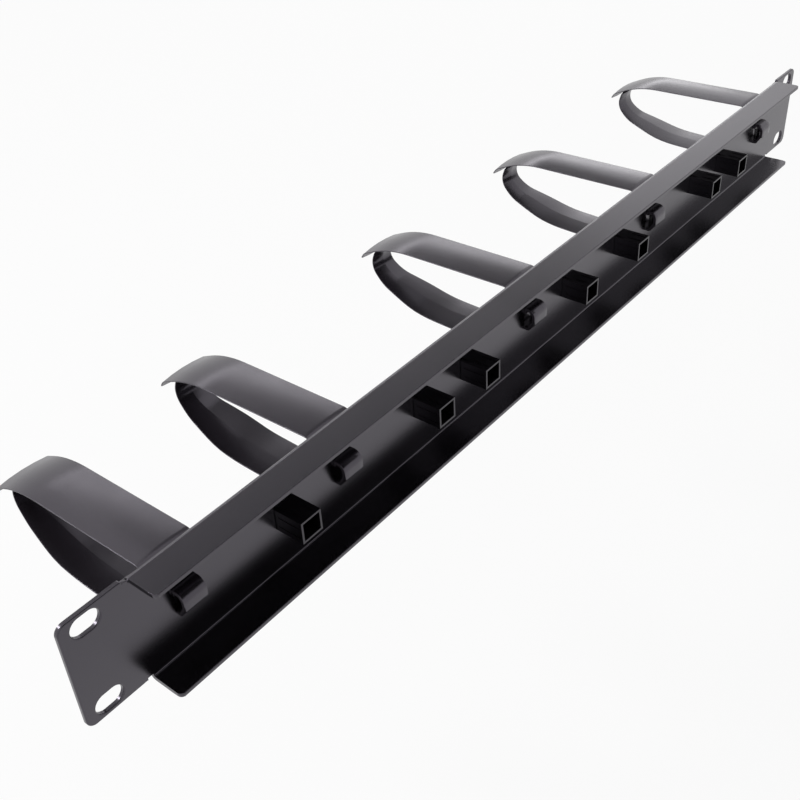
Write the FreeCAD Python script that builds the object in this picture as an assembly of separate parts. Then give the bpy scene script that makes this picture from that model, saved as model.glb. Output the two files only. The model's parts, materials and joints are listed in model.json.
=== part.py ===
import FreeCAD
import Part
import math
import os

# Horizontal cable manager for a 19 inch rack, one unit high. X runs along the panel, to the
# right for someone in front of the rack, Y points to the rear of the rack and Z up. The origin
# lies midway between the four rack slots, on the rear face of the sheet, which meets the rails.

# Panel, folded from one sheet of steel
RACK_WIDTH = 482.6        # over both ears
EAR_WIDTH = 24.0          # from an ear's outer edge to the end of the folds
SLOT_INSET = 8.75         # from an ear's outer edge to the middle of its slots
SLOT_SPACING_Z = 31.75    # between the two rows of rack slots
SLOT_HEIGHT = 6.8
SLOT_LENGTH = 10.0        # end to end, along X
SHEET = 1.5               # thickness of the steel with its coating
EAR_HEIGHT = 41.4
EAR_CORNER = 3.2          # radius of the ears' outer corners
FOLD_DEPTH = 12.1         # reach of the flanges behind the web's rear face
FOLD_RADIUS = 0.7         # inside radius of the folds
FOLD_CORNER = 1.8         # radius of the flanges' free corners
RELIEF_WIDTH = 2.0        # notch between an ear and the end of a fold
RELIEF_DEPTH = 1.1
EDGE_SOFTENING = 0.25     # powder coat rounds the flanges' cut edges

# Row of square holes that rings and plugs snap into
HOLE_WIDTH = 9.6
HOLE_HEIGHT = 8.8
HOLE_CORNER = 0.6
HOLE_MARGIN = 17.3        # from the end of the folds to the middle of the first hole
PAIR_SPREAD = 43.0        # between the two holes of a pair
PAIRS = 6                 # pairs of holes, evenly spaced

# Cable ring, a strap moulded in one piece, open at its front in a slit mouth
STRAP_WIDTH = 20.0
STRAP = 1.8               # thickness
STRAP_CORNER = 1.2        # plan radius of the corners at both ends
RING_DEPTH = 76.5         # from the web to the bend of the lip
RING_TOP = 16.4           # height of the upper arm's outside at the web
RING_BOTTOM = 15.65       # depth of the lower arm's outside at the web
RING_CORNER = 4.4         # centre-line radius of the two corners at the web
UPPER_FALL = 7.05         # how far the upper arm comes down to its lip
UPPER_KNEE = 14.0         # distance of the upper arm's knee from the lip
UPPER_DROP = 0.6          # fall of the upper arm from the web to its knee
UPPER_RADIUS = 46.0
LIP_LENGTH = 3.4
LIP_ANGLE = 56.0          # slope of the lip below the horizontal
LIP_RADIUS = 4.0
TIP_INSET = 3.6           # how far the lower arm's tip lies inside the lip's bend
TIP_GAP = 1.0             # slit between the lower arm's tip and the upper arm
# the lower arm's three bends, from the web to its tip: distance inside the lip's bend, rise
# above the arm's root, and radius
BELLY_INSET = 30.0
BELLY_RISE = 2.2
BELLY_RADIUS = 60.0
CHIN_INSET = 8.2
CHIN_RISE = 9.2
CHIN_RADIUS = 18.0
NOSE_INSET = 1.8
NOSE_RISE = 15.6
NOSE_RADIUS = 7.0

# Tongue at the back of a ring, which springs through its hole and hooks behind the web
TONGUE_WIDTH = 9.1
TONGUE_WALL = 1.4
TONGUE_REACH = 4.9        # how far it stands out behind the web
TONGUE_CATCH = 0.6        # overlap behind the hole's upper and lower edges
TONGUE_STEP = 0.4         # ledge under the flat of the tongue
PLAY = 0.15               # gap between a catch and the web
HOLE_CLEARANCE = 0.25     # gap between a tongue and the hole's edge

# Plug for a hole that holds no ring, a square tube closed at the front
PLUG_WIDTH = 9.1
PLUG_HEIGHT = 8.5
PLUG_WALL = 0.8
PLUG_REACH = 11.6         # how far it stands out behind the web
PLUG_HEAD = 13.0          # side of its square head
PLUG_HEAD_DEPTH = 1.4
PLUG_HEAD_BEVEL = 0.6
PLUG_BARB_WIDTH = 6.0
PLUG_BARB_CATCH = 0.3     # overlap of a barb behind the hole's edge
PLUG_BARB_LENGTH = 4.5

# Holes by number from the -X end
RING_HOLES = {"right_end_ring": 11, "right_ring": 9, "middle_ring": 6, "left_ring": 3, "left_end_ring": 0}

WEB_FRONT = -SHEET
FOLD_LENGTH = RACK_WIDTH - 2 * EAR_WIDTH
PAIR_PITCH = (FOLD_LENGTH - 2 * HOLE_MARGIN - PAIR_SPREAD) / (PAIRS - 1)


def vec(x, y, z):
    return FreeCAD.Vector(x, y, z)


def block(x0, x1, y0, y1, z0, z1):
    """Box between two opposite corners."""
    return Part.makeBox(x1 - x0, y1 - y0, z1 - z0, vec(x0, y0, z0))


def edges_where(shape, test):
    """Edges whose middle point passes a test."""
    return [edge for edge in shape.Edges if test(edge.CenterOfMass)]


def upright_edges(shape):
    """Straight edges that run along Y, the corners of a plate that stands up."""
    found = []
    for edge in shape.Edges:
        along = edge.Vertexes[-1].Point - edge.Vertexes[0].Point
        if abs(along.x) + abs(along.z) < 1e-6:
            found.append(edge)
    return found


def profile_face(points):
    """Face in the YZ plane. A point of three values gives a rounded corner with that radius."""
    return Part.Face(rounded_wire(points, closed=True))


def rounded_wire(points, closed=False):
    """Straight runs joined by tangent arcs: each point is (y, z) or (y, z, corner radius)."""
    places = [vec(0, p[0], p[1]) for p in points]
    radii = [p[2] if len(p) > 2 else 0.0 for p in points]
    count = len(places)
    edges = []
    start = None
    first = None
    for i in range(count):
        here = places[i]
        is_end = not closed and i in (0, count - 1)
        if radii[i] > 0 and not is_end:
            back = (places[i - 1] - here).normalize()
            ahead = (places[(i + 1) % count] - here).normalize()
            half = back.getAngle(ahead) / 2
            reach = radii[i] / math.tan(half)
            middle = (back + ahead).normalize()
            entry = here + back * reach
            leave = here + ahead * reach
            top = here + middle * (radii[i] / math.sin(half) - radii[i])
            if start is not None and start.distanceToPoint(entry) > 1e-6:
                edges.append(Part.LineSegment(start, entry).toShape())
            edges.append(Part.Arc(entry, top, leave).toShape())
            first = first or entry
            start = leave
        else:
            if start is not None:
                edges.append(Part.LineSegment(start, here).toShape())
            first = first or here
            start = here
    if closed and start.distanceToPoint(first) > 1e-6:
        edges.append(Part.LineSegment(start, first).toShape())
    return Part.Wire(edges)


def hole_x(number):
    """X of a hole, counted from the -X end in pairs."""
    pair, side = divmod(number, 2)
    pair_centre = (pair - (PAIRS - 1) / 2) * PAIR_PITCH
    return pair_centre + (side - 0.5) * PAIR_SPREAD


def obround(x, z):
    """Slot that runs along X, through the sheet."""
    radius = SLOT_HEIGHT / 2
    half_run = SLOT_LENGTH / 2 - radius
    depth = 3 * SHEET
    y0 = WEB_FRONT - SHEET
    body = block(x - half_run, x + half_run, y0, y0 + depth, z - radius, z + radius)
    for side in (-1, 1):
        end = Part.makeCylinder(radius, depth, vec(x + side * half_run, y0, z), vec(0, 1, 0))
        body = body.fuse(end)
    return body.removeSplitter()


def folded_section():
    """Web and both flanges in section. The upper fold's outside is level with the ears' top
    edge, and the lower fold's inside with their bottom edge, as the blank is cut and folded."""
    outer = FOLD_RADIUS + SHEET
    top = EAR_HEIGHT / 2
    bottom = -EAR_HEIGHT / 2 - SHEET
    soft = EDGE_SOFTENING
    return profile_face([
        (WEB_FRONT, top, outer),
        (WEB_FRONT, bottom, outer),
        (FOLD_DEPTH, bottom, soft),
        (FOLD_DEPTH, bottom + SHEET, soft),
        (0, bottom + SHEET, FOLD_RADIUS),
        (0, top - SHEET, FOLD_RADIUS),
        (FOLD_DEPTH, top - SHEET, soft),
        (FOLD_DEPTH, top, soft),
    ])


def folded_channel():
    """The folded middle of the panel, with the flanges' free corners rounded."""
    half = FOLD_LENGTH / 2
    channel = folded_section().extrude(vec(FOLD_LENGTH, 0, 0))
    channel.translate(vec(-half, 0, 0))
    # a block the size of each flange, with its two free corners rounded, trims the flange
    reach = EAR_HEIGHT + 4 * SHEET
    outline = block(-half, half, WEB_FRONT, FOLD_DEPTH, -reach / 2, reach / 2)
    free = [e for e in outline.Edges if e.Length > reach - 1 and e.Length < reach + 1 and e.CenterOfMass.y > 0]
    return channel.common(outline.makeFillet(FOLD_CORNER, free))


def ear(side):
    """One ear: a flat plate beyond the end of the folds, with rounded outer corners."""
    inner = side * (FOLD_LENGTH / 2 - SHEET)
    outer = side * RACK_WIDTH / 2
    plate = block(min(inner, outer), max(inner, outer), WEB_FRONT, 0, -EAR_HEIGHT / 2, EAR_HEIGHT / 2)
    corners = [e for e in upright_edges(plate) if abs(e.CenterOfMass.x) > FOLD_LENGTH / 2]
    plate = plate.makeFillet(EAR_CORNER, corners)
    edge_x = FOLD_LENGTH / 2 + RELIEF_WIDTH
    for up in (-1, 1):
        z_edge = up * EAR_HEIGHT / 2
        z_deep = z_edge - up * RELIEF_DEPTH
        notch_x = sorted((side * (FOLD_LENGTH / 2 - 2 * SHEET), side * edge_x))
        notch_z = sorted((z_edge + up, z_deep))
        plate = plate.cut(block(*notch_x, 2 * WEB_FRONT, SHEET, *notch_z))
    # ease the corner beside each notch
    beside = [e for e in upright_edges(plate) if abs(abs(e.CenterOfMass.x) - edge_x) < 0.01
              and abs(e.CenterOfMass.z) > EAR_HEIGHT / 2 - 0.1]
    return plate.makeFillet(min(RELIEF_DEPTH, RELIEF_WIDTH) / 2, beside)


def panel():
    """The whole folded sheet, with its rack slots and its row of square holes."""
    sheet = folded_channel()
    for side in (-1, 1):
        sheet = sheet.fuse(ear(side))
    sheet = sheet.removeSplitter()
    cutters = []
    for side in (-1, 1):
        for up in (-1, 1):
            cutters.append(obround(side * (RACK_WIDTH / 2 - SLOT_INSET), up * SLOT_SPACING_Z / 2))
    for number in range(2 * PAIRS):
        x = hole_x(number)
        hole = block(x - HOLE_WIDTH / 2, x + HOLE_WIDTH / 2, 2 * WEB_FRONT, SHEET,
                     -HOLE_HEIGHT / 2, HOLE_HEIGHT / 2)
        cutters.append(hole.makeFillet(HOLE_CORNER, upright_edges(hole)))
    return sheet.cut(cutters)


def ring_path():
    """Centre line of the strap: lip, upper arm, base on the web, lower arm, tip."""
    half = STRAP / 2
    base_y = WEB_FRONT - half
    lip_y = WEB_FRONT - RING_DEPTH
    top_z = RING_TOP - half
    low_z = -(RING_BOTTOM - half)
    lip_z = top_z - UPPER_FALL
    slope = math.radians(LIP_ANGLE)
    knee = (lip_y + UPPER_KNEE, top_z - UPPER_DROP, UPPER_RADIUS)
    points = [
        (lip_y - LIP_LENGTH * math.cos(slope), lip_z - LIP_LENGTH * math.sin(slope)),
        (lip_y, lip_z, LIP_RADIUS),
        knee,
        (base_y, top_z, RING_CORNER),
        (base_y, low_z, RING_CORNER),
    ]
    points.append((lip_y + BELLY_INSET, low_z + BELLY_RISE, BELLY_RADIUS))
    points.append((lip_y + CHIN_INSET, low_z + CHIN_RISE, CHIN_RADIUS))
    points.append((lip_y + NOSE_INSET, low_z + NOSE_RISE, NOSE_RADIUS))
    arm_slope = (knee[1] - lip_z) / UPPER_KNEE
    under_arm = lip_z + TIP_INSET * arm_slope - half * math.hypot(1, arm_slope)
    points.append((lip_y + TIP_INSET, under_arm - TIP_GAP))
    return rounded_wire(points)


def strap():
    """The strap swept along its path, with the corners of both ends rounded."""
    path = ring_path()
    start = path.OrderedVertexes[0].Point
    finish = path.OrderedVertexes[-1].Point
    ahead = path.OrderedEdges[0].tangentAt(path.OrderedEdges[0].FirstParameter)
    across = ahead.cross(vec(1, 0, 0)) * (STRAP / 2)
    along = vec(STRAP_WIDTH / 2, 0, 0)
    outline = [start - along - across, start + along - across, start + along + across, start - along + across]
    sweep = Part.BRepOffsetAPI.MakePipeShell(path)
    sweep.setBiNormalMode(vec(1, 0, 0))
    sweep.add(Part.makePolygon(outline + outline[:1]))
    sweep.build()
    sweep.makeSolid()
    body = sweep.shape()
    corners = []
    for edge in body.Edges:
        from_end = min(edge.CenterOfMass.distanceToPoint(end) for end in (start, finish))
        if from_end < STRAP_WIDTH / 2 + 1e-3 and edge.Length < STRAP * 1.01:
            corners.append(edge)
    return body.makeFillet(STRAP_CORNER, corners)


def tongue():
    """Springy C behind the web: its top catches above the hole and its tip below it."""
    wall = TONGUE_WALL
    rear = TONGUE_REACH
    catch = HOLE_HEIGHT / 2 + TONGUE_CATCH
    neck = HOLE_HEIGHT / 2 - HOLE_CLEARANCE
    root = WEB_FRONT - STRAP / 2
    outline = [
        (root, neck),
        (PLAY, neck),
        (PLAY, catch),
        (rear, catch, rear * 0.75),
        (rear, -rear * 0.25),
        (rear - TONGUE_STEP, -rear * 0.25 - TONGUE_STEP / 2),
        (rear * 0.45, -catch, 0.8),
        (PLAY, -catch),
        (PLAY, -catch + wall),
        (rear * 0.3, -catch + wall, 0.6),
        (rear - wall, -rear * 0.2, 0.8),
        (rear - wall, neck - wall, (rear - wall) * 0.6),
        (root, neck - wall),
    ]
    body = profile_face(outline).extrude(vec(TONGUE_WIDTH, 0, 0))
    body.translate(vec(-TONGUE_WIDTH / 2, 0, 0))
    return body


def ring(x):
    """A whole cable ring at its hole: the strap, flat against the web, and its tongue."""
    body = strap().fuse(tongue()).removeSplitter()
    body.translate(vec(x, 0, 0))
    return body


def barb(up):
    """Wedge on the top or bottom of a plug, highest just behind the web."""
    low = PLUG_HEIGHT / 2 - PLUG_WALL / 2
    high = HOLE_HEIGHT / 2 + PLUG_BARB_CATCH
    wedge = profile_face([
        (PLAY, low),
        (PLAY, high),
        (PLAY + PLUG_BARB_LENGTH, PLUG_HEIGHT / 2),
        (PLAY + PLUG_BARB_LENGTH, low),
    ]).extrude(vec(PLUG_BARB_WIDTH, 0, 0))
    wedge.translate(vec(-PLUG_BARB_WIDTH / 2, 0, 0))
    if up < 0:
        wedge = wedge.mirror(vec(0, 0, 0), vec(0, 0, 1))
    return wedge


def plug(x):
    """A hollow square plug, open at the rear, with a bevelled head on the web's front."""
    head_back = WEB_FRONT
    head_front = WEB_FRONT - PLUG_HEAD_DEPTH
    side = PLUG_HEAD / 2
    head = block(-side, side, head_front, head_back, -side, side)
    front_edges = edges_where(head, lambda p: abs(p.y - head_front) < 1e-6)
    head = head.makeChamfer(PLUG_HEAD_BEVEL, front_edges)
    width = PLUG_WIDTH / 2
    height = PLUG_HEIGHT / 2
    tube = block(-width, width, head_back, PLUG_REACH, -height, height)
    body = head.fuse([tube, barb(1), barb(-1)]).removeSplitter()
    hollow = block(-width + PLUG_WALL, width - PLUG_WALL, head_back, PLUG_REACH + 1,
                   -height + PLUG_WALL, height - PLUG_WALL)
    body = body.cut(hollow)
    body.translate(vec(x, 0, 0))
    return body


def save(shape, name):
    """Write one piece, after a check that it is one sound solid."""
    solids = shape.Solids
    if len(solids) != 1 or not solids[0].isValid():
        raise ValueError(name + " is not one sound solid")
    solids[0].exportStep("parts/" + name + ".step")
    print(name, round(solids[0].Volume, 1), "mm3")


os.makedirs("parts", exist_ok=True)
save(panel(), "panel")
for ring_name, number in RING_HOLES.items():
    save(ring(hole_x(number)), ring_name)
free_holes = [n for n in range(2 * PAIRS) if n not in RING_HOLES.values()]
for count, number in enumerate(reversed(free_holes), start=1):
    save(plug(hole_x(number)), "hole_plug_" + str(count))
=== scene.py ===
import json
import math

import bmesh
import bpy
from mathutils import Euler, Matrix, Vector

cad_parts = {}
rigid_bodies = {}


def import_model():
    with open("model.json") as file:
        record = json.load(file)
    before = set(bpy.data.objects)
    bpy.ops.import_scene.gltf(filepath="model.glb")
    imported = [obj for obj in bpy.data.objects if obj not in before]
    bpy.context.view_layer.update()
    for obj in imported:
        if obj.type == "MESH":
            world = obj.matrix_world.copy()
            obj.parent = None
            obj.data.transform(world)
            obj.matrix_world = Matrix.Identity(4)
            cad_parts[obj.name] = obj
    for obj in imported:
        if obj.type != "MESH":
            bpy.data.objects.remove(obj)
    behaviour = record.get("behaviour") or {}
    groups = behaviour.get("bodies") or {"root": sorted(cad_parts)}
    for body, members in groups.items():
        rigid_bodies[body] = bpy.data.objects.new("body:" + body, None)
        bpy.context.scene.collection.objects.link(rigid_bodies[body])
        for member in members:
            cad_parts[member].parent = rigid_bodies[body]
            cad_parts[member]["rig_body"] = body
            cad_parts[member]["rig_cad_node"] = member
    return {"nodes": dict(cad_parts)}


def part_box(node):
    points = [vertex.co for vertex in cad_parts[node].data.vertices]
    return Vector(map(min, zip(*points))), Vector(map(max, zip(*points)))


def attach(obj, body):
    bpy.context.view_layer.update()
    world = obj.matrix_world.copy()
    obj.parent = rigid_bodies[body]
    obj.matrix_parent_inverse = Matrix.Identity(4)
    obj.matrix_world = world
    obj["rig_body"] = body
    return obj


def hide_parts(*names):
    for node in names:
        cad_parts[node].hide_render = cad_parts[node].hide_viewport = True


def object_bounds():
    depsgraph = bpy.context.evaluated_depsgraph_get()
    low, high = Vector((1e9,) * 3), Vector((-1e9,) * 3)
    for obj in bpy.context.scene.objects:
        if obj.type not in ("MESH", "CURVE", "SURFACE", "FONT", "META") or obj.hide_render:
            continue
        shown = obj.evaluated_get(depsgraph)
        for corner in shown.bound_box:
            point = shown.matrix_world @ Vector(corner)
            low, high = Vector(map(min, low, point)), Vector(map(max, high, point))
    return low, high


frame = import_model()
cad_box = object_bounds()

# The panel: one sheet of steel, punched, folded into a channel with two free ears, and powder
# coated in satin black. The coat rounds the cut edges that show, and has a faint orange peel.

MM = 0.001
CAD_WELD = 0.002 * MM       # points of the solid's mesh that are closer than this are one
WELD = 0.001 * MM           # the same for the meshes made here
NEAR = 0.01 * MM            # what is within this of a plane or line counts as on it
FLAT = 0.5                  # degrees: faces that turn less than this are one flat
CREASE = 30                 # degrees: smooth shading stops at sharper edges
CUT = 60                    # degrees: cut edges are sharper than this, the facets of bends aren't
SHEEN_TINT = "#f6eeff"      # the blacks' faint violet cast
SHEEN_SPREAD = 0.03         # how far the roughness wanders from its mean
PATCH = 40                  # size of the patches in which it wanders, in grains
FLANGE_EDGE = 0.2 * MM      # the coat's rounding of the flanges' cut edges
FLANGE_REAR = 9.0 * MM      # these lie further behind the web than this
EAR_EDGE = 0.5 * MM         # rounding of the ears' and slots' rear edges
EAR_START = 219.5 * MM      # the ears lie beyond this distance from the middle


def colour(code):
    """Linear colour of an sRGB hex value."""
    shares = [int(code[i:i + 2], 16) / 255 for i in (1, 3, 5)]
    linear = [s / 12.92 if s <= 0.04045 else ((s + 0.055) / 1.055) ** 2.4 for s in shares]
    return (*linear, 1.0)


def deselect():
    if bpy.context.mode != "OBJECT":
        bpy.ops.object.mode_set(mode="OBJECT")
    bpy.ops.object.select_all(action="DESELECT")


def activate(piece):
    deselect()
    piece.select_set(True)
    bpy.context.view_layer.objects.active = piece


def dressed_copy(node, name):
    """A welded copy of a CAD node's mesh, to be given rounded edges."""
    deselect()
    piece = frame["nodes"][node].copy()
    piece.data = piece.data.copy()
    piece.name = name
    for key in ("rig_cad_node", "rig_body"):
        if key in piece:
            del piece[key]
    piece.parent = None
    bpy.context.scene.collection.objects.link(piece)
    activate(piece)
    bpy.ops.object.mode_set(mode="EDIT")
    bpy.ops.mesh.select_all(action="SELECT")
    bpy.ops.mesh.remove_doubles(threshold=CAD_WELD)
    bpy.ops.object.mode_set(mode="OBJECT")
    return piece


def pick(kind, test, sharper=0):
    """In edit mode, selects the parts whose middle passes a test, and of edges only those that
    are sharper than an angle in degrees."""
    bpy.ops.mesh.select_mode(type=kind)
    bpy.ops.mesh.select_all(action="DESELECT")
    mesh = bmesh.from_edit_mesh(bpy.context.object.data)
    for part in {"VERT": mesh.verts, "EDGE": mesh.edges, "FACE": mesh.faces}[kind]:
        corners = [part] if kind == "VERT" else part.verts
        wanted = test(sum((v.co for v in corners), Vector()) / len(corners))
        if wanted and sharper:
            wanted = part.calc_face_angle(0) > math.radians(sharper)
        part.select_set(bool(wanted))
    mesh.select_flush_mode()
    bmesh.update_edit_mesh(bpy.context.object.data)


def round_edges(piece, width, segments, sharp=CREASE):
    """Bevels the edges that are sharper than an angle in degrees, as far as short edges leave
    room, and shades the piece."""
    activate(piece)
    bevel = piece.modifiers.new("rounding", "BEVEL")
    bevel.width = width
    bevel.segments = segments
    bevel.limit_method = "ANGLE"
    bevel.angle_limit = math.radians(sharp)
    bevel.loop_slide = False
    bpy.ops.object.modifier_apply(modifier="rounding")
    shade(piece, sharp)


def shade(piece, sharp=CREASE):
    """Shades smoothly, with the flats flat and edges sharper than an angle in degrees crisp."""
    activate(piece)
    bpy.ops.object.shade_smooth_by_angle(angle=math.radians(sharp))
    flats = piece.modifiers.new("flats", "WEIGHTED_NORMAL")
    flats.keep_sharp = True
    flats.weight = 100
    bpy.ops.object.modifier_apply(modifier="flats")


def add_node(owner, kind, settings=(), links=()):
    """Adds a shader node to a material or world, sets its sockets, by name or number, and its
    properties, and links its inputs."""
    node = owner.node_tree.nodes.new(kind)
    for key, value in dict(settings).items():
        if isinstance(key, int) or key in node.inputs:
            node.inputs[key].default_value = value
        else:
            setattr(node, key, value)
    for key, source in dict(links).items():
        owner.node_tree.links.new(source, node.inputs[key])
    return node


def finish_with(piece, material):
    piece.data.materials.clear()
    piece.data.materials.append(material)
    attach(piece, "root")


def textured_surface(name, base, roughness, grain, depth, sheen_level):
    """A dielectric surface with a fine relief: grain is its size and depth its height, in metres."""
    material = bpy.data.materials.new(name)
    material.use_nodes = True
    surface = material.node_tree.nodes["Principled BSDF"]
    surface.inputs["Base Color"].default_value = colour(base)
    surface.inputs["IOR"].default_value = 1.5
    surface.inputs["Specular IOR Level"].default_value = sheen_level
    surface.inputs["Specular Tint"].default_value = colour(SHEEN_TINT)
    place = add_node(material, "ShaderNodeTexCoord")
    relief = add_node(material, "ShaderNodeTexNoise",
                      {"Scale": 1 / grain, "Detail": 3.0, "Roughness": 0.6},
                      {"Vector": place.outputs["Object"]})
    bump = add_node(material, "ShaderNodeBump", {"Distance": depth, "Strength": 1.0},
                    {"Height": relief.outputs["Fac"]})
    patches = add_node(material, "ShaderNodeTexNoise",
                       {"Scale": 1 / (PATCH * grain), "Detail": 2.0},
                       {"Vector": place.outputs["Object"]})
    sheen = add_node(material, "ShaderNodeMapRange",
                     {"To Min": roughness - SHEEN_SPREAD, "To Max": roughness + SHEEN_SPREAD},
                     {"Value": patches.outputs["Fac"]})
    material.node_tree.links.new(bump.outputs["Normal"], surface.inputs["Normal"])
    material.node_tree.links.new(sheen.outputs["Result"], surface.inputs["Roughness"])
    return material


# satin black polyester powder coat: deep black, a soft broad sheen, very fine orange peel
powder_coat = textured_surface("satin_powder_coat", "#070608", roughness=0.25, grain=0.7 * MM,
                               depth=0.007 * MM, sheen_level=0.95)

panel = dressed_copy("panel", "coated_panel")
bpy.ops.object.mode_set(mode="EDIT")
# the flats' slim triangles are merged first, as they would spoil the rounding
bpy.ops.mesh.select_all(action="SELECT")
bpy.ops.mesh.dissolve_limited(angle_limit=math.radians(FLAT))
pick("EDGE", lambda middle: abs(middle.y) < NEAR and abs(middle.x) > EAR_START, sharper=CUT)
bpy.ops.mesh.bevel(offset=EAR_EDGE, segments=4, affect="EDGES", loop_slide=False)
pick("EDGE", lambda middle: middle.y > FLANGE_REAR, sharper=CUT)
bpy.ops.mesh.bevel(offset=FLANGE_EDGE, segments=3, affect="EDGES", loop_slide=False)
bpy.ops.mesh.select_all(action="SELECT")
bpy.ops.mesh.remove_doubles(threshold=WELD)
bpy.ops.object.mode_set(mode="OBJECT")
shade(panel)
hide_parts("panel")
finish_with(panel, powder_coat)

# The cable rings: each is one moulding in black nylon, a springy strap that leaves the web,
# comes round to a slit mouth under its own lip, and grips the sheet with a hooked tongue. The
# mould parts along the strap's middle, so both faces fall away from there to rounded edges.

SHEET = 1.5 * MM
STRAP_WIDTH = 20.0 * MM
STRAP = 1.8 * MM            # thickness on the parting line
STRAP_CAMBER = 0.7 * MM     # how far each face falls away towards an edge
STRAP_EDGE = 0.16 * MM      # rounding of the long edges
STRAP_END_EDGE = 0.25 * MM  # the most that the ends' edges are rounded; short ones allow less
STRAP_CORNER = 1.2 * MM     # rounding of the ends' corners, seen from above
STRAP_STEP = 3.0 * MM       # distance between sections on a straight run
BEND_STEP = 4               # degrees between sections in a bend
RING_TOP = 16.4 * MM        # the upper arm's outside, where it leaves the web
RING_BOTTOM = 15.65 * MM    # the same for the lower arm
RING_CORNER = 4.4 * MM      # bend radius where the arms leave the web
LIP_BEND = -78.0 * MM       # where the upper arm turns down into its lip
LIP_SLOPE = math.radians(56)
LIP_LENGTH = 3.4 * MM
UPPER_FALL = 7.05 * MM      # how far the upper arm falls from the web to the lip's bend
ARM_END = 0.8 * MM          # the lower arm's last section lies within this of its middle line's end
ARM_END_SHARE = 0.6         # the lower arm's width at its end, as a share of the strap's
ARM_TAPER = 34.0 * MM       # the stretch over which it narrows
TONGUE_WIDTH = 9.1 * MM
TONGUE_WALL = 1.4 * MM
TONGUE_TOP = 5.0 * MM       # height of the catch above the hole's middle
TONGUE_REACH = 4.9 * MM
TONGUE_EDGE = 0.18 * MM
NECK_TOP = 4.15 * MM
NECK_LENGTH = 3.4 * MM
FOOT_WALL = 1.2 * MM
FOOT_RISE = 0.6 * MM        # the foot lies this far inside the height of the catch
PLAY = 0.15 * MM            # gap between what springs in behind the web and the web


def push(step, widen=1.0):
    """Extrudes the end of a strip by a step, and makes it wider or narrower."""
    bpy.ops.mesh.extrude_region_move(TRANSFORM_OT_translate={"value": step})
    bpy.ops.transform.resize(value=(widen, 1, 1), center_override=(0, 0, 0))


def go(run):
    """Takes a strip along a straight run, in steps short enough for its taper to stay smooth."""
    steps = max(1, round(run.length / STRAP_STEP))
    for _ in range(steps):
        push(run / steps)


def moulded_strip(name, width, thickness, course, camber, edge, corner=0.0):
    """A strip that runs along a course of (y, z, bend radius): its section is pushed along
    the straight runs and spun round the bends."""
    places = [Vector((0, y, z)) for y, z, radius in course]
    ahead = (places[1] - places[0]).normalized()
    deselect()
    bpy.ops.mesh.primitive_plane_add(size=1)
    strip = bpy.context.active_object
    strip.name = name
    strip.scale = (width, thickness, 1)
    bpy.ops.object.transform_apply(location=False, rotation=False, scale=True)
    bpy.ops.object.mode_set(mode="EDIT")
    pick("EDGE", lambda middle: abs(middle.y) > thickness / 4)
    bpy.ops.mesh.subdivide(number_cuts=3)
    # half way out the faces have fallen by a quarter of the camber, at the edges by all of it
    for out in (width / 4, width / 2):
        pick("VERT", lambda middle: abs(abs(middle.x) - out) < width / 8)
        fall = camber * (2 * out / width) ** 2
        bpy.ops.transform.resize(value=(1, 1 - 2 * fall / thickness, 1), center_override=(0, 0, 0))
    bpy.ops.mesh.bevel(offset=edge, segments=3, affect="VERTICES")
    bpy.ops.object.mode_set(mode="OBJECT")
    strip.rotation_euler = (math.atan2(-ahead.y, ahead.z), 0, 0)
    strip.location = places[0]
    bpy.ops.object.transform_apply(location=True, rotation=True, scale=True)
    bpy.ops.object.mode_set(mode="EDIT")
    bpy.ops.mesh.select_mode(type="FACE")
    bpy.ops.mesh.select_all(action="SELECT")
    here = places[0]
    # the ends' corners are rounded in three steps of a quarter circle
    turns = [math.radians(a) for a in (0, 30, 60, 90)]
    widths = [width - 2 * corner * (1 - math.sin(a)) for a in turns]
    if corner:
        bpy.ops.transform.resize(value=(widths[0] / width, 1, 1), center_override=(0, 0, 0))
        for k in (1, 2, 3):
            run = corner * (math.cos(turns[k - 1]) - math.cos(turns[k]))
            push(ahead * run, widths[k] / widths[k - 1])
            here = here + ahead * run
    for i in range(1, len(places) - 1):
        back = (places[i - 1] - places[i]).normalized()
        ahead = (places[i + 1] - places[i]).normalized()
        half = back.angle(ahead) / 2
        radius = course[i][2]
        entry = places[i] + back * radius / math.tan(half)
        go(entry - here)
        centre = places[i] + (back + ahead).normalized() * radius / math.sin(half)
        turn = math.pi - 2 * half
        side = 1 if back.cross(ahead).x > 0 else -1
        bpy.ops.mesh.spin(steps=max(2, math.ceil(turn / math.radians(BEND_STEP))),
                          angle=side * turn, center=centre, axis=(1, 0, 0))
        here = places[i] + ahead * radius / math.tan(half)
    go(places[-1] - ahead * corner - here)
    if corner:
        for k in (3, 2, 1):
            run = corner * (math.cos(turns[k - 1]) - math.cos(turns[k]))
            push(ahead * run, widths[k - 1] / widths[k])
    bpy.ops.mesh.select_all(action="SELECT")
    bpy.ops.mesh.remove_doubles(threshold=WELD)
    bpy.ops.mesh.normals_make_consistent(inside=False)
    bpy.ops.object.mode_set(mode="OBJECT")
    return strip


def fuse(piece, other):
    """Makes one closed skin of two pieces that overlap."""
    activate(piece)
    union = piece.modifiers.new("union", "BOOLEAN")
    union.operation = "UNION"
    union.solver = "EXACT"
    union.object = other
    bpy.ops.object.modifier_apply(modifier="union")
    bpy.data.objects.remove(other)


base = -SHEET - STRAP / 2
top = RING_TOP - STRAP / 2
low = -RING_BOTTOM + STRAP / 2
lip = top - UPPER_FALL
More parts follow.
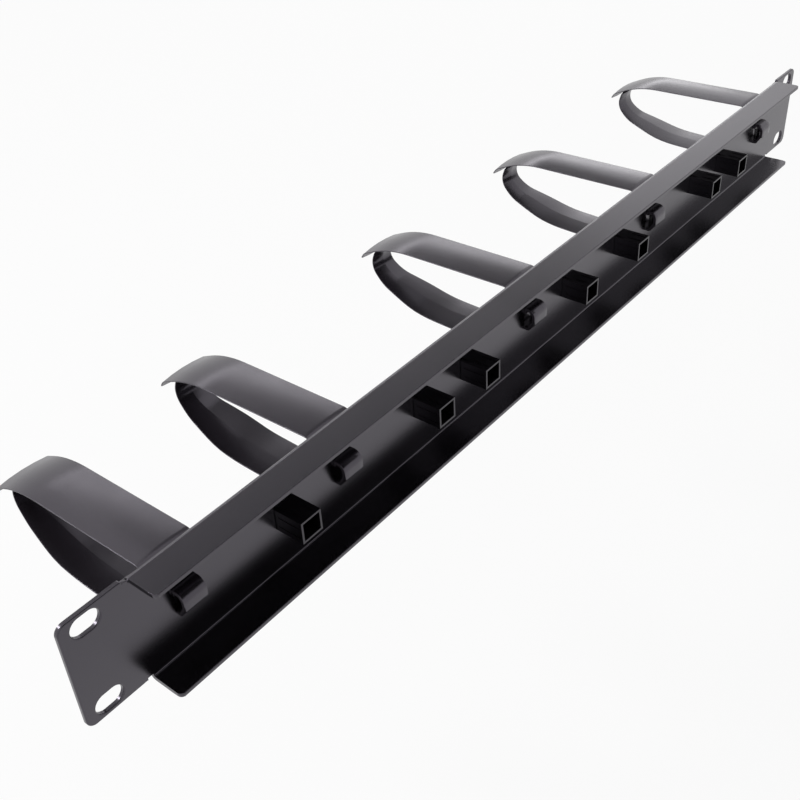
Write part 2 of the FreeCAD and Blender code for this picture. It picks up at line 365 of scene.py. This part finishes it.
# the strap's middle line, as (y, z, bend radius)
strap_course = [
    # the lip's end, its bend, and the knee where the upper arm begins to fall to it
    (LIP_BEND - LIP_LENGTH * math.cos(LIP_SLOPE), lip - LIP_LENGTH * math.sin(LIP_SLOPE), 0),
    (LIP_BEND, lip, 4.0 * MM),
    (LIP_BEND + 14.0 * MM, top - 0.6 * MM, 46.0 * MM),
    # the base, against the web
    (base, top, RING_CORNER),
    (base, low, RING_CORNER),
    # the lower arm's belly, chin and nose, and its end under the lip
    (LIP_BEND + 30.0 * MM, low + 2.2 * MM, 60.0 * MM),
    (LIP_BEND + 7.2 * MM, low + 9.2 * MM, 18.0 * MM),
    (LIP_BEND + 0.2 * MM, low + 15.6 * MM, 7.0 * MM),
    (LIP_BEND + 2.4 * MM, lip - 0.9 * MM, 0),
]
strap = moulded_strip("strap", STRAP_WIDTH, STRAP, strap_course, STRAP_CAMBER, STRAP_EDGE,
                      STRAP_CORNER)
activate(strap)
bpy.ops.object.mode_set(mode="EDIT")
# the lower arm narrows over its last stretch, up to the end under the lip
arm_end = Vector((0, *strap_course[-1][:2]))
pick("VERT", lambda middle: (middle - arm_end).yz.length < ARM_END)
bpy.ops.transform.resize(value=(ARM_END_SHARE, 1, 1), center_override=(0, 0, 0),
                         use_proportional_edit=True, use_proportional_connected=True,
                         proportional_edit_falloff="SMOOTH", proportional_size=ARM_TAPER)
# the parting line is a crease on the strap's inner face
ring_middle = Vector((0, LIP_BEND / 2, 0))
mesh = bmesh.from_edit_mesh(strap.data)
for edge in mesh.edges:
    middle = (edge.verts[0].co + edge.verts[1].co) / 2
    on_parting = max(abs(v.co.x) for v in edge.verts) < NEAR
    if on_parting and edge.link_faces[0].normal.dot(ring_middle - middle) > 0:
        edge.smooth = False
bmesh.update_edit_mesh(strap.data)
bpy.ops.object.mode_set(mode="OBJECT")
round_edges(strap, STRAP_END_EDGE, 2, sharp=CUT)

# the tongue: a neck through the hole, a curved catch over it, and a slanted foot under it
deselect()
bpy.ops.mesh.primitive_cube_add(size=1, location=(0, -SHEET / 2, NECK_TOP - TONGUE_WALL / 2))
neck = bpy.context.active_object
neck.scale = (TONGUE_WIDTH, NECK_LENGTH, TONGUE_WALL)
bpy.ops.object.transform_apply(location=True, rotation=True, scale=True)
catch_z = TONGUE_TOP - TONGUE_WALL / 2
catch_y = TONGUE_REACH - TONGUE_WALL / 2
foot_z = FOOT_RISE - TONGUE_TOP
# the catch runs back from the sheet and bends down; the foot slants forward from it to the sheet
catch = moulded_strip("catch", TONGUE_WIDTH, TONGUE_WALL, [
    (PLAY, catch_z, 0),
    (catch_y, catch_z, 2.9 * MM),
    (catch_y, -1.3 * MM, 0),
], 0.0, TONGUE_EDGE)
foot = moulded_strip("foot", TONGUE_WIDTH, FOOT_WALL, [
    (catch_y - 0.25 * MM, -0.9 * MM, 0),
    (1.9 * MM, foot_z, 0.8 * MM),
    (PLAY, foot_z, 0),
], 0.0, TONGUE_EDGE)
for part in (foot, neck):
    fuse(catch, part)
fuse(strap, catch)
activate(strap)
bpy.ops.object.shade_smooth_by_angle(angle=math.radians(CREASE))

# moulded nylon with a fine spark-eroded grain: dark warm grey with a satin sheen
ring_nylon = textured_surface("moulded_nylon", "#1b181c", roughness=0.24, grain=0.25 * MM,
                              depth=0.004 * MM, sheen_level=0.9)


def copies_of(model, part_of_name, material):
    """Puts a copy of a piece, with its own mesh, in the place of each CAD node of that name."""
    for node in sorted(frame["nodes"]):
        if part_of_name in node:
            low_corner, high_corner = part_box(node)
            piece = model.copy()
            piece.data = model.data.copy()
            piece.name = "moulded_" + node
            piece.data.transform(Matrix.Translation(((low_corner.x + high_corner.x) / 2, 0, 0)))
            bpy.context.scene.collection.objects.link(piece)
            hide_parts(node)
            finish_with(piece, material)
    bpy.data.objects.remove(model)


copies_of(strap, "_ring", ring_nylon)

# The hole plugs: hollow square mouldings in the same black, pressed into the holes that hold
# no ring. Each has a flat head on the web's front, a thin-walled tube with two shallow grooves
# along every side, and a barb above and below that springs in behind the hole's edge.

PLUG_HEAD = 13.0 * MM
PLUG_HEAD_DEPTH = 1.4 * MM
PLUG_HEAD_BEVEL = 0.6 * MM
PLUG_WIDTH = 9.1 * MM
PLUG_HEIGHT = 8.5 * MM
PLUG_WALL = 0.8 * MM
PLUG_REACH = 11.6 * MM
PLUG_EDGE = 0.1 * MM        # the most that the edges are rounded; short ones allow less
TUBE_CUTS = 8               # cuts across a side of the tube, which leave a strip for each groove
GROOVE_PLACE = 2.0 * MM     # from the middle of a side
GROOVE_FIND = 0.3 * MM      # a groove's strip has its middle within this of that place
GROOVE_START = 1.5 * MM     # behind the web
GROOVE_END = 10.9 * MM
GROOVE_DEPTH = 0.18 * MM
BARB_WIDTH = 6.0 * MM
BARB_LENGTH = 4.5 * MM
BARB_TOP = 4.7 * MM
BARB_SINK = 0.03 * MM       # the barb's slope ends this far under the tube's face


def grow(step):
    bpy.ops.mesh.extrude_region_move(TRANSFORM_OT_translate={"value": (0, step, 0)})


def narrow(across, up):
    """Extrudes the selected end in place and scales it within its plane."""
    grow(0)
    bpy.ops.transform.resize(value=(across, 1, up), center_override=(0, 0, 0))


deselect()
bpy.ops.mesh.primitive_cube_add(size=1, location=(0, -SHEET - PLUG_HEAD_DEPTH / 2, 0))
plug = bpy.context.active_object
plug.scale = (PLUG_HEAD, PLUG_HEAD_DEPTH, PLUG_HEAD)
bpy.ops.object.transform_apply(location=True, rotation=True, scale=True)
bpy.ops.object.mode_set(mode="EDIT")
pick("EDGE", lambda middle: middle.y < -SHEET - PLUG_HEAD_DEPTH + NEAR)
bpy.ops.mesh.bevel(offset=PLUG_HEAD_BEVEL, segments=1, affect="EDGES")
# the tube starts from the middle of the head's rear face
pick("FACE", lambda middle: middle.y > -SHEET - NEAR)
narrow(PLUG_WIDTH / PLUG_HEAD, PLUG_HEIGHT / PLUG_HEAD)
bpy.ops.mesh.select_mode(type="EDGE")
bpy.ops.mesh.subdivide(number_cuts=TUBE_CUTS)
bpy.ops.mesh.select_mode(type="FACE")
pick("FACE", lambda middle: middle.y > -SHEET - NEAR and abs(middle.x) < PLUG_WIDTH / 2
     and abs(middle.z) < PLUG_HEIGHT / 2)
grow(SHEET + GROOVE_START)
grow(GROOVE_END - GROOVE_START)
grow(PLUG_REACH - GROOVE_END)
# from its rear end it is hollow up to the head
narrow(1 - 2 * PLUG_WALL / PLUG_WIDTH, 1 - 2 * PLUG_WALL / PLUG_HEIGHT)
grow(-PLUG_REACH - SHEET)
bpy.ops.mesh.dissolve_faces()

# two grooves are sunk into each of the tube's four sides
for axis, face in ((2, PLUG_HEIGHT / 2), (0, PLUG_WIDTH / 2)):
    for side in (1, -1):
        pick("FACE", lambda middle: GROOVE_START < middle.y < GROOVE_END
             and side * middle[axis] > face - NEAR
             and abs(min(abs(middle.x), abs(middle.z)) - GROOVE_PLACE) < GROOVE_FIND)
        sink = Vector()
        sink[axis] = -side * GROOVE_DEPTH
        bpy.ops.mesh.extrude_region_move(TRANSFORM_OT_translate={"value": sink})
bpy.ops.object.mode_set(mode="OBJECT")

# the barbs are rooted in the tube's wall, and slope down to its face towards the rear
root = PLUG_HEIGHT / 2 - PLUG_WALL / 2
for up in (1, -1):
    deselect()
    bpy.ops.mesh.primitive_cube_add(
        size=1, location=(0, PLAY + BARB_LENGTH / 2, up * (root + BARB_TOP) / 2))
    barb = bpy.context.active_object
    barb.scale = (BARB_WIDTH, BARB_LENGTH, BARB_TOP - root)
    bpy.ops.object.transform_apply(location=True, rotation=True, scale=True)
    bpy.ops.object.mode_set(mode="EDIT")
    pick("EDGE", lambda middle: middle.y > BARB_LENGTH and abs(middle.z) > BARB_TOP - NEAR)
    bpy.ops.transform.translate(value=(0, 0, -up * (BARB_TOP - PLUG_HEIGHT / 2 + BARB_SINK)))
    bpy.ops.object.mode_set(mode="OBJECT")
    fuse(plug, barb)
round_edges(plug, PLUG_EDGE, 2)

# moulded polypropylene, near black, smooth with a low satin sheen
plug_plastic = textured_surface("plug_polypropylene", "#050406", roughness=0.3, grain=0.3 * MM,
                                depth=0.002 * MM, sheen_level=0.6)

copies_of(plug, "hole_plug", plug_plastic)

# The studio: a pale floor well below the part, white surroundings, three soft lamps, and two
# cards that keep light off the part. The strip is narrow, and low in front of the rings, so that
# it draws a soft line of light along the straps.

FLOOR_DROP = 0.12           # metres, like every length that follows
FLOOR_SIDE = 6.0
FLOOR_GLOW = 0.92           # share of plain white in what the camera sees; the rest keeps the shadow
WORLD_LEVEL = 0.5           # strength of the surroundings' light on the part
MATT = 0.9                  # roughness of paper and board
LAMP_AIM = (0, -0.03, 0)
STRIP_ROLL = 29.0           # degrees, so that the strip's line of light follows the straps
# each lamp's name, place, width, height, watts and roll
LAMPS = [
    ("lamp_beyond_far_end", (-1.3, -0.45, 0.46), 0.5, 0.4, 0.25, 0),
    ("strip_before_rings", (-0.9, -0.93, 0.62), 1.6, 0.15, 1.9, STRIP_ROLL),
    ("lamp_over_rings", (0.57, -0.53, 0.59), 0.2, 0.2, 3, 0),
]
# each card's name, place, width, height, roll and paint. The black one, behind the camera, darkens
# what faces up and back. The grey one, above the strip, darkens the flange and the near halves of
# the straps.
CARDS = [
    ("black_card", (-0.15, 0.95, 0.85), 1.5, 0.9, 0, "#101010"),
    ("grey_card", (-0.715, -0.68, 1.09), 1.1, 0.8, STRIP_ROLL, "#c8c8c8"),
]


def seen_directly(owner):
    """1 for rays that show the surroundings: straight to the camera, mirrored, or through glass."""
    path = add_node(owner, "ShaderNodeLightPath")
    total = path.outputs["Is Camera Ray"]
    for name in ("Is Glossy Ray", "Is Transmission Ray"):
        total = add_node(owner, "ShaderNodeMath", {"operation": "MAXIMUM"},
                         {0: total, 1: path.outputs[name]}).outputs[0]
    return total


def matt_paint(name, code):
    paint = bpy.data.materials.new(name)
    paint.use_nodes = True
    surface = paint.node_tree.nodes["Principled BSDF"]
    surface.inputs["Base Color"].default_value = colour(code)
    surface.inputs["Roughness"].default_value = MATT
    return paint


def turned(place, aim, roll):
    """The rotation of a lamp or card that looks from its place to its aim, rolled in degrees."""
    facing = (Vector(aim) - Vector(place)).to_track_quat("-Z", "Y")
    return (facing @ Euler((0, 0, math.radians(roll))).to_quaternion()).to_euler()


deselect()
bpy.ops.mesh.primitive_plane_add(size=FLOOR_SIDE, location=(0, 0, cad_box[0].z - FLOOR_DROP))
floor = bpy.context.active_object
floor.name = "studio_floor"
white_paper = matt_paint("white_paper", "#f4f4f4")
paper = white_paper.node_tree.nodes["Principled BSDF"]
glow = add_node(white_paper, "ShaderNodeEmission", {"Color": (1, 1, 1, 1), "Strength": 1.0})
share = add_node(white_paper, "ShaderNodeMath", {"operation": "MULTIPLY", 1: FLOOR_GLOW},
                 {0: seen_directly(white_paper)})
mixed = add_node(white_paper, "ShaderNodeMixShader", links={
    0: share.outputs[0], 1: paper.outputs["BSDF"], 2: glow.outputs["Emission"]})
output = white_paper.node_tree.nodes["Material Output"]
white_paper.node_tree.links.new(mixed.outputs["Shader"], output.inputs["Surface"])
floor.data.materials.append(white_paper)

world = bpy.data.worlds.new("studio")
bpy.context.scene.world = world
world.use_nodes = True
sky = world.node_tree.nodes["Background"]
sky.inputs["Color"].default_value = (1, 1, 1, 1)
level = add_node(world, "ShaderNodeMapRange", {"To Min": WORLD_LEVEL, "To Max": 1.0},
                 {"Value": seen_directly(world)})
world.node_tree.links.new(level.outputs["Result"], sky.inputs["Strength"])

for name, place, width, height, watts, roll in LAMPS:
    deselect()
    bpy.ops.object.light_add(type="AREA", location=place)
    lamp = bpy.context.active_object
    lamp.name = name
    lamp.data.shape = "RECTANGLE"
    lamp.data.size = width
    lamp.data.size_y = height
    lamp.data.energy = watts
    lamp.rotation_euler = turned(place, LAMP_AIM, roll)

for name, place, width, height, roll, paint in CARDS:
    deselect()
    bpy.ops.mesh.primitive_plane_add(size=1, location=place)
    board = bpy.context.active_object
    board.name = name
    board.scale = (width, height, 1)
    board.rotation_euler = turned(place, (0, 0, 0), roll)
    board.visible_camera = False
    board.data.materials.append(matt_paint(name, paint))

# The camera stands where the photograph was taken: behind the panel's end, above it.
camera_place = Vector((0.32608, 0.19656, 0.23077))
camera_turn = Euler([math.radians(a) for a in (54.2967, 3.7298, 129.5130)], "XYZ")
bpy.ops.object.camera_add(location=camera_place, rotation=camera_turn)
camera = bpy.context.active_object
camera.data.lens = 48.40
camera.data.shift_x = 0.03
camera.data.shift_y = -0.0175
camera.data.sensor_width = 36.0
camera.data.clip_start = 0.01
camera.data.clip_end = 20.0
bpy.context.scene.camera = camera

bpy.context.scene.view_settings.view_transform = "Standard"
